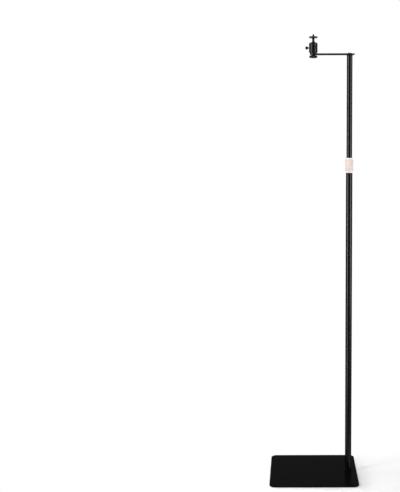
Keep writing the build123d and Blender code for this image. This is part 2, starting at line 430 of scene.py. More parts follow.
def rounded(corners: Sequence[Corner], closed: bool = False, steps: int = ARC_STEPS) -> list[Spot]:
    """Turn a half profile's corners into arcs, with a holding point on each side.

    Args:
        corners: Corners in order.
        closed: Whether the last corner joins the first.
        steps: Straight pieces in an arc.

    Returns:
        The points of the profile.
    """
    spots: list[Spot] = []
    count = len(corners)
    for index, corner in enumerate(corners):
        at_end = not closed and index in (0, count - 1)
        if corner.rounding <= 0 or at_end:
            spots.append(Spot(corner.reach, corner.z))
            continue
        here = corner.place
        back = corners[index - 1].place - here
        ahead = corners[(index + 1) % count].place - here
        half = back.angle(ahead) / 2
        reach = corner.rounding / math.tan(half)
        inward = (back.normalized() + ahead.normalized()).normalized()
        centre = here + inward * corner.rounding / math.sin(half)
        start = here + back.normalized() * reach
        end = here + ahead.normalized() * reach
        hold = HOLD_SHARE * corner.rounding
        spots.append(Spot(*start + back.normalized() * min(hold, (back.length - reach) / HOLD_PARTS)))
        for step in range(steps + 1):
            way = start.lerp(end, step / steps) - centre
            point = centre + way.normalized() * corner.rounding
            spots.append(Spot(*point, FULL_WEAR if 0 < step < steps else ARC_END_WEAR))
        spots.append(Spot(*end + ahead.normalized() * min(hold, (ahead.length - reach) / HOLD_PARTS)))
    return spots


def quarter_round(radius: float, steps: int) -> list[Spot]:
    """Give a quarter round as distances from the two faces that it joins.

    Args:
        radius: Radius of the round.
        steps: Straight pieces in it.

    Returns:
        Its points, whose reach falls to 0 and whose z rises to the radius.
    """
    spots = []
    for step in range(steps + 1):
        angle = QUARTER * step / steps
        worn = SOFT_WEAR if 0 < step < steps else 0.0
        spots.append(Spot(radius * (1 - math.sin(angle)), radius * (1 - math.cos(angle)), worn))
    return spots


def arc_points(centre: Sequence[float], radius: float, start: float, sweep: float, steps: int) -> Flat:
    """Give the points of an arc in a plane, from its start angle through its sweep."""
    turns = [start + sweep * step / steps for step in range(steps + 1)]
    return [(centre[0] + radius * math.cos(turn), centre[1] + radius * math.sin(turn)) for turn in turns]


def cap_sphere(half: float, rise: float) -> float:
    """Give the radius of the sphere whose cap has this half width and rise."""
    return (half ** 2 + rise ** 2) / (2 * rise)


def folded(angle: float, count: int) -> float:
    """Give how far an angle lies from the nearest of evenly spaced directions."""
    part = TURN / count
    return (angle + part / 2) % part - part / 2


def hollow_reach(angle: float, count: int, pitch: float, radius: float) -> float:
    """Give the distance from the axis to evenly spaced round hollows.

    Args:
        angle: Direction from the axis.
        count: Number of hollows.
        pitch: Distance of their centres from the axis.
        radius: Their radius.

    Returns:
        The distance, which is endless beside them.
    """
    off = folded(angle, count)
    inside = radius ** 2 - (pitch * math.sin(off)) ** 2
    return pitch * math.cos(off) - math.sqrt(inside) if inside > 0 else math.inf


def steady(value: float) -> Curve:
    """Give a curve that has one value everywhere."""
    return lambda _: value


def polar_ring(reach: Curve, height: Curve, count: int, edge: float = 0.0, x: float = 0.0) -> Ring:
    """Make a loop round an upright axis.

    Args:
        reach: Distance from the axis at an angle.
        height: Height at a distance.
        count: Points in the loop.
        edge: How worn the loop is.
        x: Place of the axis along X.

    Returns:
        The loop.
    """
    points = []
    for index in range(count):
        angle = TURN * index / count
        radius = reach(angle)
        points.append(Vector((x + radius * math.cos(angle), radius * math.sin(angle), height(radius))))
    return Ring(points, edge)


def turned_rings(spots: Sequence[Spot], count: int, x: float = 0.0) -> list[Ring]:
    """Turn a finished profile into loops about an upright axis at x."""
    return [polar_ring(steady(spot.reach), steady(spot.z), count, spot.edge, x) for spot in spots]


def socket_rings(flats: float, face: float, floor: float, count: int, x: float = 0.0) -> list[Ring]:
    """Give the two loops of a hexagon socket.

    Args:
        flats: Distance across its flats.
        face: Height of its worn rim.
        floor: Height of its floor.
        count: Points in a loop.
        x: Place of the axis along X.

    Returns:
        The rim's loop and the floor's.
    """
    def reach(angle: float) -> float:
        """Reach of the hexagon at one angle."""
        return flats / 2 / math.cos(folded(angle, HEXAGON_SIDES))

    return [polar_ring(reach, steady(z), count, edge, x) for z, edge in ((face, SOFT_WEAR), (floor, 0.0))]


def linked(name: str, data: bpy.types.ID) -> Piece:
    """Put a new object into the scene.

    Args:
        name: Its name.
        data: Its mesh, lamp or camera.

    Returns:
        The object.
    """
    thing = bpy.data.objects.new(name, data)
    bpy.context.scene.collection.objects.link(thing)
    return thing


def soften(piece: Piece) -> Piece:
    """Shade a piece smoothly, apart from its sharp edges.

    Args:
        piece: The piece.

    Returns:
        The same piece.
    """
    piece.data.shade_smooth()
    piece.data.set_sharp_from_angle(angle=SMOOTH_ANGLE)
    return piece


def shaped(name: str, form: bmesh.types.BMesh, material: bpy.types.Material | None) -> Piece:
    """Turn a finished form into a piece.

    Args:
        name: Name of the piece.
        form: The form, which is used up.
        material: Its material, where it has one already.

    Returns:
        The piece.
    """
    mesh = bpy.data.meshes.new(name)
    form.to_mesh(mesh)
    form.free()
    if material:
        mesh.materials.append(material)
    return soften(linked(name, mesh))


def loft(name: str, rings: Sequence[Ring], closed: bool = False, finish: Finish | None = None) -> Piece:
    """Skin a row of loops into a solid piece.

    Args:
        name: Name of the piece.
        rings: Loops with the same count of points.
        closed: Whether the last loop joins the first, as on a tube.
        finish: Its finish, where a later cut has to know it.

    Returns:
        The piece.
    """
    form = bmesh.new()
    layer = form.verts.layers.float.new(EDGE_LAYER)
    loops = []
    for ring in rings:
        loop = [form.verts.new(point) for point in ring.points]
        for vert in loop:
            vert[layer] = ring.edge
        loops.append(loop)
    pairs = list(zip(loops, loops[1:]))
    if closed:
        pairs.append((loops[-1], loops[0]))
    else:
        form.faces.new(loops[0][::-1])
        form.faces.new(loops[-1])
    count = len(loops[0])
    for lower, upper in pairs:
        for here in range(count):
            there = (here + 1) % count
            form.faces.new((lower[here], lower[there], upper[there], upper[here]))
    bmesh.ops.recalc_face_normals(form, faces=form.faces)
    return shaped(name, form, finish and finish.material())


def turned(
    name: str, corners: Sequence[Corner], count: int, x: float = 0.0,
    closed: bool = False, steps: int = ARC_STEPS,
) -> Piece:
    """Turn a half profile with rounded corners into a piece about an upright axis at x."""
    return loft(name, turned_rings(rounded(corners, closed, steps), count, x), closed)


def rod(name: str, radius: float, low: float, high: float, count: int, finish: Finish) -> Piece:
    """Make a plain upright cylinder from a low to a high end."""
    return loft(name, turned_rings([Spot(radius, low), Spot(radius, high)], count), finish=finish)


def slab(
    name: str, box: Box, centres: Flat, radius: float, steps: int,
    deep: float, soft: float, start: float = 0.0,
) -> Piece:
    """Make a flat piece with round corners and edges.

    Args:
        name: Name of the piece.
        box: Its extents.
        centres: Centres of its corners, in order.
        radius: Radius of its corners.
        steps: Straight pieces in a corner.
        deep: How far in from the outline its faces are drawn.
        soft: Rounding of its edges.
        start: Angle at which the first corner begins.

    Returns:
        The piece.
    """
    sweep = TURN / len(centres)
    rings = []
    for spot in rounded(ledge(-deep, 0, box.low.z, box.high.z, soft)):
        outline = []
        for index, centre in enumerate(centres):
            outline += arc_points(centre, radius + spot.reach, start + sweep * index, sweep, steps)
        rings.append(Ring([Vector((x, y, spot.z)) for x, y in outline], spot.edge))
    return loft(name, rings)


def laid(piece: Piece, place: Sequence[float], angle: float = 0.0, axis: str = "Z") -> Piece:
    """Turn a piece's mesh about an axis through the origin, move its origin to a place and give it back."""
    piece.data.transform(Matrix.Translation(place) @ Matrix.Rotation(angle, 4, axis))
    return piece


def bake(piece: Piece) -> Piece:
    """Turn a piece's modifiers into a plain mesh.

    Args:
        piece: Piece with live modifiers.

    Returns:
        The same piece with its final mesh.
    """
    graph = bpy.context.evaluated_depsgraph_get()
    mesh = bpy.data.meshes.new_from_object(piece.evaluated_get(graph))
    piece.modifiers.clear()
    piece.data = mesh
    return soften(piece)


def carve(piece: Piece, *cutters: Piece) -> Piece:
    """Cut other shapes out of a piece and delete them.

    Args:
        piece: Piece that is cut.
        cutters: Shapes to take away.

    Returns:
        The cut piece.
    """
    for cutter in cutters:
        cut = piece.modifiers.new(cutter.name, "BOOLEAN")
        cut.operation = "DIFFERENCE"
        cut.solver = "EXACT"
        cut.material_mode = "TRANSFER"
        cut.object = cutter
    bake(piece)
    for cutter in cutters:
        bpy.data.objects.remove(cutter)
    return piece


def bevelled(piece: Piece, width: float) -> Piece:
    """Round a piece's sharp edges.

    Args:
        piece: Piece to round.
        width: Width of the rounding.

    Returns:
        The rounded piece.
    """
    rounding = piece.modifiers.new("bevel", "BEVEL")
    rounding.width = width
    rounding.segments = BEVEL_STEPS
    rounding.limit_method = "ANGLE"
    rounding.angle_limit = BEVEL_ANGLE
    rounding.use_clamp_overlap = True
    return bake(piece)


def join(name: str, *pieces: Piece) -> Piece:
    """Put several meshes into one piece.

    Args:
        name: Name of the result.
        pieces: Pieces of one finish, which are used up.

    Returns:
        The joined piece.
    """
    form = bmesh.new()
    for piece in pieces:
        form.from_mesh(piece.data)
    for face in form.faces:
        face.material_index = 0
    finish = next(finish for piece in pieces for finish in piece.data.materials if finish)
    for piece in pieces:
        bpy.data.objects.remove(piece)
    return shaped(name, form, finish)


def settle(piece: Piece, body: Body, finish: Finish, *nodes: str) -> None:
    """Dress a piece, put it on its body and let it stand for its nodes.

    Args:
        piece: Finished piece.
        body: Body that it moves with.
        finish: Its finish, unless it already has materials.
        nodes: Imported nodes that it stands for.
    """
    if not piece.data.materials:
        piece.data.materials.append(finish.material())
    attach(piece, body.value)
    if nodes:
        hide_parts(*nodes)
    LOG.info("%s rides on %s with %s", piece.name, body.value, finish.name)


def dress_node(node: Piece, finish: Finish) -> None:
    """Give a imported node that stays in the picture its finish.

    Args:
        node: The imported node's object.
        finish: Its finish.
    """
    node.data.materials.clear()
    node.data.materials.append(finish.material())
    LOG.info("%s keeps its solid with %s", node.name, finish.name)


class GeoTree(NodeCanvas):
    """A Geometry Nodes group with named inputs."""

    def __init__(self, name: str) -> None:
        """Start an empty group.

        Args:
            name: Its name.
        """
        super().__init__(bpy.data.node_groups.new(name, "GeometryNodeTree"))
        self.tree.interface.new_socket("Geometry", in_out="OUTPUT", socket_type="NodeSocketGeometry")
        self.entry = self.tree.nodes.new("NodeGroupInput")
        self.exit = self.tree.nodes.new("NodeGroupOutput")

    def ask(self, **kinds: str) -> list[Socket]:
        """Add named inputs.

        Args:
            kinds: Their names and socket types, without the NodeSocket in front.

        Returns:
            The sockets that give their values.
        """
        for name, kind in kinds.items():
            self.tree.interface.new_socket(name, in_out="INPUT", socket_type=f"NodeSocket{kind}")
        return [self.entry.outputs[name] for name in kinds]

    def upward(self, z: object) -> Socket:
        """Give a vector along Z."""
        return self.add("ShaderNodeCombineXYZ", Z=z).outputs[0]

    def close(self, shape: Node, finish: Socket) -> "GeoTree":
        """End the group: make the copies real and give them their material.

        Args:
            shape: Node that gives the finished shape.
            finish: Source of the material.

        Returns:
            The group.
        """
        real = self.add("GeometryNodeRealizeInstances", shape.outputs[0])
        dressed = self.add("GeometryNodeSetMaterial", Geometry=real.outputs[0], Material=finish)
        self.feed(self.exit.inputs["Geometry"], dressed.outputs[0])
        return self

    def copies(self, points: Node, piece: Socket, finish: Socket, **turn: Socket) -> "GeoTree":
        """End the group with copies of a piece on points.

        Args:
            points: Node that gives the points.
            piece: Source of the piece.
            finish: Source of the material.
            turn: Rotation of the copies, where they turn.

        Returns:
            The group.
        """
        pattern = self.add("GeometryNodeObjectInfo", Object=piece).outputs["Geometry"]
        places = {"Points": points.outputs[0], "Instance": pattern, **turn}
        return self.close(self.add("GeometryNodeInstanceOnPoints", **places), finish)

    def make(self, name: str, finish: Finish, **values: object) -> Piece:
        """Run the group once and keep the result as a plain mesh.

        Args:
            name: Name of the piece.
            finish: Its finish.
            values: The group's other inputs. The piece that it copies is used up.

        Returns:
            The piece.
        """
        values["Finish"] = finish.material()
        piece = linked(name, bpy.data.meshes.new(name))
        modifier = piece.modifiers.new(name, "NODES")
        modifier.node_group = self.tree
        for item in self.tree.interface.items_tree:
            if item.in_out == "INPUT":
                modifier[item.identifier] = values[item.name]
        bake(piece)
        if "Piece" in values:
            bpy.data.objects.remove(values["Piece"])
        return piece


@lru_cache(maxsize=None)
def ring_tree() -> GeoTree:
    """Make the group that sets copies of a piece evenly round an axis.

    Returns:
        The group.
    """
    tree = GeoTree("copies_in_a_ring")
    piece, count, radius, finish = tree.ask(Piece="Object", Count="Int", Radius="Float", Finish="Material")
    circle = tree.add("GeometryNodeMeshCircle", Vertices=count, Radius=radius)
    index = tree.add("GeometryNodeInputIndex").outputs[0]
    angle = tree.number("DIVIDE", tree.number("MULTIPLY", index, TURN), count)
    return tree.copies(circle, piece, finish, Rotation=tree.upward(angle))


@lru_cache(maxsize=None)
def corner_tree() -> GeoTree:
    """Make the group that sets one copy of a piece at each corner of a rectangle.

    Returns:
        The group.
    """
    tree = GeoTree("copies_at_corners")
    piece, wide, deep, finish = tree.ask(Piece="Object", Wide="Float", Deep="Float", Finish="Material")
    grid = tree.add("GeometryNodeMeshGrid", Size_X=wide, Size_Y=deep, Vertices_X=2, Vertices_Y=2)
    return tree.copies(grid, piece, finish)


@lru_cache(maxsize=None)
def thread_tree(segments: int = 40, ridge_sides: int = 4) -> GeoTree:
    """Make the group that winds a ridge round a core, up from the origin.

    Args:
        segments: Points in a turn.
        ridge_sides: Sides of the ridge's section.

    Returns:
        The group.
    """
    tree = GeoTree("screw_thread")
    lengths = dict.fromkeys(("Crest", "Depth", "Pitch", "Length", "Tip"), "Float")
    crest, depth, pitch, length, tip, finish = tree.ask(**lengths, Finish="Material")
    root = tree.number("SUBTRACT", crest, depth)
    wound = tree.number("SUBTRACT", length, tree.number("ADD", tip, depth))
    straight = tree.number("SUBTRACT", length, tip)
    spiral = tree.add(
        "GeometryNodeCurveSpiral", Resolution=segments, Rotations=tree.number("DIVIDE", wound, pitch),
        Start_Radius=root, End_Radius=root, Height=wound,
    )
    upright = tree.add("GeometryNodeSetCurveNormal", spiral.outputs[0], mode="Z_UP")
    ridge = tree.add("GeometryNodeCurvePrimitiveCircle", Resolution=ridge_sides, Radius=depth)
    line, section = upright.outputs[0], ridge.outputs[0]
    sweep = tree.add("GeometryNodeCurveToMesh", Curve=line, Profile_Curve=section, Fill_Caps=True)
    core = tree.add("GeometryNodeMeshCylinder", Vertices=segments, Radius=root, Depth=straight)
    point = tree.add(
        "GeometryNodeMeshCone", Vertices=segments, Radius_Bottom=root,
        Radius_Top=tree.number("SUBTRACT", root, tip), Depth=tip,
    )
    joined = tree.add("GeometryNodeJoinGeometry", sweep.outputs[0])
    for part, height in ((core, tree.number("MULTIPLY", straight, 0.5)), (point, straight)):
        lift = tree.upward(height)
        raised = tree.add("GeometryNodeTransform", Geometry=part.outputs[0], Translation=lift)
        tree.feed(joined.inputs[0], raised.outputs[0])
    return tree.close(joined, finish)


@dataclass
class Base:
    """Square plate, its rubber pads, the screw under it and the foot of the pole."""

    corner_radius: float = 20 * MM
    corner_steps: int = 14
    flat_share: float = 0.9
    edge_round: float = 1.2 * MM
    pad_chamfer: float = 0.5 * MM
    pad_groove: float = 0.5 * MM
    pad_grooves: int = 3
    groove_share: float = 0.18
    core_share: float = 0.3
    socket_flats: float = 5 * MM
    socket_depth: float = 2.4 * MM
    shank_radius: float = 4 * MM
    screw_bevel: float = 0.3 * MM
    screw_rim: float = 0.15 * MM
    rim_round: float = 0.1 * MM
    neck_round: float = 0.2 * MM
    foot_round: float = 0.6 * MM
    sole_round: float = 0.3 * MM
    foot_inset: float = 2 * MM
    segments: int = 96

    def build(self) -> None:
        """Make and place all pieces of the base."""
        settle(self.plate(), Body.BASE, PLATE_COAT, "base_plate")
        settle(self.pads(), Body.BASE, RUBBER, *PAD_NODES)
        settle(self.screw(), Body.BASE, BLACK_OXIDE, "base_screw")
        settle(self.foot(), Body.BASE, FOOT_COAT, "pole_foot")

    def plate(self) -> Piece:
        """Make the plate with rounded corners and edges.

        Returns:
            The plate.
        """
        box = Box.of("base_plate")
        radius = self.corner_radius
        left, right = box.low.x + radius, box.high.x - radius
        near, far = box.low.y + radius, box.high.y - radius
        centres = [(right, far), (left, far), (left, near), (right, near)]
        deep = radius * self.flat_share
        return slab("base_plate_coated", box, centres, radius, self.corner_steps, deep, self.edge_round)

    def pads(self) -> Piece:
        """Make the four ribbed pads.

        Returns:
            The pads in one piece.
        """
        box = Box.of(PAD_NODES[0])
        other = Box.of(PAD_NODES[-1])
        step = box.radius / (self.pad_grooves + 1)
        width = step * self.groove_share
        groove = self.pad_groove
        corners = [Corner(box.radius, box.high.z), Corner(box.radius, 0, self.pad_chamfer)]
        for index in range(self.pad_grooves, 0, -1):
            outer = index * step + width
            inner = index * step - width
            corners += [Corner(outer, 0), Corner(outer, groove), Corner(inner, groove), Corner(inner, 0)]
        corners.append(Corner(step * self.core_share, 0))
        pad = turned("pad_pattern", corners, self.segments // 2, steps=COARSE_STEPS)
        wide = other.mid("x") - box.mid("x")
        deep = other.mid("y") - box.mid("y")
        return corner_tree().make("base_pads_ribbed", RUBBER, Piece=pad, Wide=wide, Deep=deep)

    def screw(self) -> Piece:
        """Make the countersunk socket screw under the pole.

        Returns:
            The screw.
        """
        box = Box.of("base_screw")
        x = box.mid("x")
        low = box.low.z
        head = box.radius
        shank = self.shank_radius
        rim, floor = socket_rings(self.socket_flats, low, low + self.socket_depth, self.segments, x)
        corners = [
            Corner(head - self.screw_bevel, low),
            Corner(head, low + self.screw_rim, self.rim_round),
            Corner(shank, low + head - shank, self.neck_round),
            Corner(shank, box.high.z),
        ]
        side = turned_rings(rounded(corners, steps=COARSE_STEPS), self.segments, x)
        return loft("base_screw_socket", [floor, rim, *side])

    def foot(self) -> Piece:
        """Make the flanged foot of the pole.

        Returns:
            The foot.
        """
        box = Box.of("pole_foot")
        pole = Box.of("lower_pole")
        corners = [
            Corner(self.shank_radius, box.low.z),
            Corner(box.radius, box.low.z, self.sole_round),
            Corner(box.radius, pole.low.z, self.foot_round),
            Corner(pole.radius - self.foot_inset, pole.low.z),
        ]
        return turned("pole_foot_flange", corners, self.segments, box.mid("x"))


@dataclass
class Pole:
    """The three tubes, the clutch collar and the cap under the arm."""

    wall: float = 1.2 * MM
    end_round: float = 0.45 * MM
    collar_chamfer: float = 1.2 * MM
    collar_edge: float = 0.35 * MM
    bore_gap: float = 0.15 * MM
    bore_step: float = 0.2 * MM
    lower_lip: float = 0.2 * MM
    upper_lip: float = 0.3 * MM
    ring_radius: float = 12 * MM
    ring_height: float = 6 * MM
    ring_round: float = 0.6 * MM
    ring_root: float = 0.15 * MM
    seat_margin: float = 2.6 * MM
    seat_depth: float = 2 * MM
    seat_gap: float = 0.1 * MM
    seat_segments: int = 32
    screw_height: float = 14 * MM
    screw_radius: float = 2.1 * MM
    screw_length: float = 2 * MM
    screw_recess: float = 0.35 * MM
    screw_bevel: float = 0.3 * MM
    bevel_inset: float = 0.08 * MM
    bevel_drop: float = 0.1 * MM
    screw_flats: float = 2 * MM
    screw_socket: float = 1.2 * MM
    screw_segments: int = 48
    bolt_bore: float = 4.2 * MM
    cap_round: float = 0.6 * MM
    cap_top_round: float = 0.25 * MM
    segments: int = 96

    def build(self) -> None:
        """Make and place all pieces of the pole."""
        tubes = {"lower_pole": Body.BASE, "middle_pole": Body.BASE, "upper_pole": Body.MAST}
        for node, body in tubes.items():
            settle(self.tube(node), body, POLE_COAT, node)
        settle(self.collar(), Body.COLLAR, ROSE_GOLD, "pole_collar")
        # The set screw is polished, and its pale colour also paints the glint at the front of the collar.
        settle(self.set_screw(), Body.COLLAR, ROSE_POLISHED_AND_GLINT)
        settle(self.cap(), Body.MAST, PLASTIC, "pole_cap")

    def tube(self, node: str) -> Piece:
        """Make one tube with softly broken ends.

        Args:
            node: Packed tube.

        Returns:
            The tube.
        """
        box = Box.of(node)
        corners = ledge(box.radius - self.wall, box.radius, box.low.z, box.high.z, self.end_round)
        return turned(f"{node}_tube", corners, self.segments, box.mid("x"), closed=True)

    def collar(self) -> Piece:
        """Make the collar with its two polished end rings and a bored seat for its set screw.

        Returns:
            The collar.
        """
        box = Box.of("pole_collar")
        pole = Box.of("middle_pole")
        outer = box.radius
        waist = outer - self.collar_chamfer
        ring = self.ring_radius
        soft = self.collar_edge
        bore = pole.radius + self.bore_gap
        neck = Box.of("upper_pole").radius + self.bore_gap
        step = pole.high.z + self.bore_step
        ring_top = box.low.z + self.ring_height
        ring_bottom = box.high.z - self.ring_height
        seat_z = box.low.z + self.screw_height
        corners = [
            Corner(bore, box.low.z, self.lower_lip),
            Corner(ring, box.low.z, self.ring_round),
            Corner(ring, ring_top, self.ring_root),
            Corner(waist, ring_top, soft),
            Corner(outer, ring_top + self.collar_chamfer, soft),
            Corner(outer, seat_z - self.seat_margin),
            Corner(outer, seat_z + self.seat_margin),
            Corner(outer, ring_bottom - self.collar_chamfer, soft),
            Corner(waist, ring_bottom, soft),
            Corner(ring, ring_bottom, self.ring_root),
            Corner(ring, box.high.z, self.ring_round),
            Corner(neck, box.high.z, self.upper_lip),
            Corner(neck, step),
            Corner(bore, step),
        ]
        collar = turned("pole_collar_turned", corners, self.segments, box.mid("x"), closed=True)
        for finish in (ROSE_GOLD, ROSE_POLISHED_AND_GLINT):
            collar.data.materials.append(finish.material())
        for face in collar.data.polygons:
            face.material_index = 0 if ring_top <= face.center.z <= ring_bottom else 1
        drill = self.screw_radius + self.seat_gap
        near = outer - self.seat_depth
        far = outer + self.seat_depth
        cutter = rod("set_screw_seat", drill, near, far, self.seat_segments, ROSE_GOLD)
        return carve(collar, self.seated(cutter, 0))

    def seated(self, piece: Piece, reach: float) -> Piece:
        """Lay an upright piece along Y in the collar's front, with its origin at a reach from the axis."""
        box = Box.of("pole_collar")
        return laid(piece, (box.mid("x"), -reach, box.low.z + self.screw_height), QUARTER, "X")

    def set_screw(self) -> Piece:
        """Make the small socket screw in the front of the collar.

        Returns:
            The screw.
        """
        radius = self.screw_radius
        spots = [
            Spot(radius, -self.screw_length),
            Spot(radius, -self.screw_bevel),
            Spot(radius - self.bevel_inset, -self.bevel_drop, FULL_WEAR),
            Spot(radius - self.screw_bevel, 0, FULL_WEAR),
        ]
        rings = turned_rings(spots, self.screw_segments)
        rings += socket_rings(self.screw_flats, 0, -self.screw_socket, self.screw_segments)
        reach = Box.of("pole_collar").radius - self.screw_recess
        return self.seated(loft("collar_set_screw", rings), reach)

    def cap(self) -> Piece:
        """Make the flanged cap between the upper pole and the arm.

        Returns:
            The cap.
        """
        box = Box.of("pole_cap")
        foot = Box.of("upper_pole").high.z
        soft = (self.cap_round, self.cap_top_round)
        corners = ledge(self.bolt_bore, box.radius, foot, box.high.z, *soft)
        return turned("pole_cap_flange", corners, self.segments, box.mid("x"), closed=True)


@dataclass
class Arm:
    """Flat bar with round ends and the domed bolt on top of the pole."""

    edge_round: float = 0.8 * MM
    flat_share: float = 0.8
    end_steps: int = 32
    shank_radius: float = 4 * MM
    bolt_rim: float = 0.8 * MM
    bolt_rise: float = 2.2 * MM
    under_bevel: float = 0.3 * MM
    under_rise: float = 0.2 * MM
    rim_drop: float = 0.1 * MM
    dome_steps: int = 12
    dome_share: float = 0.66
    lip_rise: float = 0.02 * MM
    socket_flats: float = 5 * MM
    socket_depth: float = 1.8 * MM
    segments: int = 96

    def build(self) -> None:
        """Make and place the bar and its bolt."""
        settle(self.bar(), Body.ARM, ARM_COAT_PAINTED_SHEEN, "arm")
        settle(self.bolt(), Body.ARM, BLACK_OXIDE, "arm_bolt")

    def bar(self) -> Piece:
        """Make the flat bar.

        Returns:
            The bar.
        """
        box = Box.of("arm")
        half = box.radius
        centres = [(box.high.x - half, 0), (box.low.x + half, 0)]
        deep = half * self.flat_share
        return slab("arm_bar", box, centres, half, self.end_steps, deep, self.edge_round, -QUARTER)

    def bolt(self) -> Piece:
        """Make the domed socket bolt.

        Returns:
            The bolt.
        """
        box = Box.of("arm_bolt")
        x = box.mid("x")
        head = box.radius
        shank = self.shank_radius
        base = Box.of("arm").high.z
        rim = base + self.bolt_rim
        crown = rim + self.bolt_rise
        sphere = cap_sphere(head, crown - rim)
        spots = [
            Spot(shank, box.low.z),
            Spot(shank, base),
            Spot(head - self.under_bevel, base),
            Spot(head, base + self.under_rise),
            Spot(head, rim - self.rim_drop, FULL_WEAR),
        ]
        inner = self.socket_flats * self.dome_share
        for step in range(1, self.dome_steps + 1):
            reach = head + (inner - head) * step / self.dome_steps
            height = crown - sphere + math.sqrt(sphere ** 2 - reach ** 2)
            spots.append(Spot(reach, height, FULL_WEAR if step == 1 else 0.0))
        lip = spots[-1].z + self.lip_rise
        rings = turned_rings(spots, self.segments, x)
        rings += socket_rings(self.socket_flats, lip, crown - self.socket_depth, self.segments, x)
        return loft("arm_bolt_domed", rings)


@dataclass
class StarKnob:
    """Lobed hand knob that clamps the head on the arm."""

    lobes: int = 7
    radius: float = 13.5 * MM
    scallop_radius: float = 4.2 * MM
    scallop_depth: float = 2.4 * MM
    blend: float = 0.55 * MM
    height: float = 7.8 * MM
    crown: float = 2 * MM
    crown_shares: tuple[float, ...] = (0.06, 0.2, 0.4, 0.6, 0.75, 0.86, 0.93)
    edge_round: float = 1.0 * MM
    edge_steps: int = 6
    side_share: float = 1.4
    top_inset: float = 0.4 * MM
    hub_radius: float = 6.5 * MM
    hub_fillet: float = 0.9 * MM
    fillet_steps: int = 5
    hub_bevel: float = 0.5 * MM
    bevel_inset: float = 0.15 * MM
    bevel_drop: float = 0.1 * MM
    points_per_lobe: int = 32

    def build(self) -> None:
        """Make and place the knob."""
        settle(self.knob(), Body.STAR_KNOB, PLASTIC, "star_knob")

    def reach(self, angle: float) -> float:
        """Give the lobed outline's distance from the axis.

        Args:
            angle: Direction from the axis.

        Returns:
            The distance.
        """
        pitch = self.radius + self.scallop_radius - self.scallop_depth
        hollow = hollow_reach(angle - QUARTER, self.lobes, pitch, self.scallop_radius)
        gap = max(self.blend - abs(self.radius - hollow), 0) / self.blend
        return min(self.radius, hollow) - gap * gap * self.blend / 4

    def crown_reach(self, angle: float, share: float) -> float:
        """Give the reach of a loop of the underside, which grows from round to lobed with its share."""
        lobed = self.reach(angle) - self.edge_round
        return share * (share * lobed + (1 - share) * (self.radius - self.scallop_depth))

    def knob(self) -> Piece:
        """Make the knob with a crowned underside and a round hub.

        Returns:
            The knob.
        """
        low = Box.of("star_knob").low.z
        top = low + self.height
        hub = self.hub_radius
        hub_top = Box.of("knob_stud").low.z
        soft = self.edge_round
        count = self.lobes * self.points_per_lobe
        sphere = cap_sphere(self.radius, self.crown)

        def crowned(radius: float) -> float:
            """Height of the crowned underside at a radius."""
            return low + sphere - math.sqrt(sphere ** 2 - radius ** 2)

        def side(inset: float, height: Curve, edge: float = 0.0) -> Ring:
            """Loop at a distance inside the lobed outline."""
            return polar_ring(lambda angle: self.reach(angle) - inset, height, count, edge)

        rings = []
        for share in self.crown_shares:
            rings.append(polar_ring(lambda angle, s=share: self.crown_reach(angle, s), crowned, count))
        edge = quarter_round(soft, self.edge_steps)
        for spot in edge:
            rings.append(side(spot.reach, lambda radius, up=spot.z: crowned(radius) + up, spot.edge))
        rings.append(side(0, steady(top - self.side_share * soft)))
        for spot in edge:
            rings.append(side(spot.z, steady(top - spot.reach), spot.edge))
        rings.append(side(soft + self.top_inset, steady(top)))
        fillet = quarter_round(self.hub_fillet, self.fillet_steps)
        spots = [Spot(hub + spot.reach, top + spot.z) for spot in fillet]
        spots += [
            Spot(hub, hub_top - self.hub_bevel),
            Spot(hub - self.bevel_inset, hub_top - self.bevel_drop, FULL_WEAR),
            Spot(hub - self.hub_bevel, hub_top),
        ]
        return loft("star_knob_lobed", rings + turned_rings(spots, count))


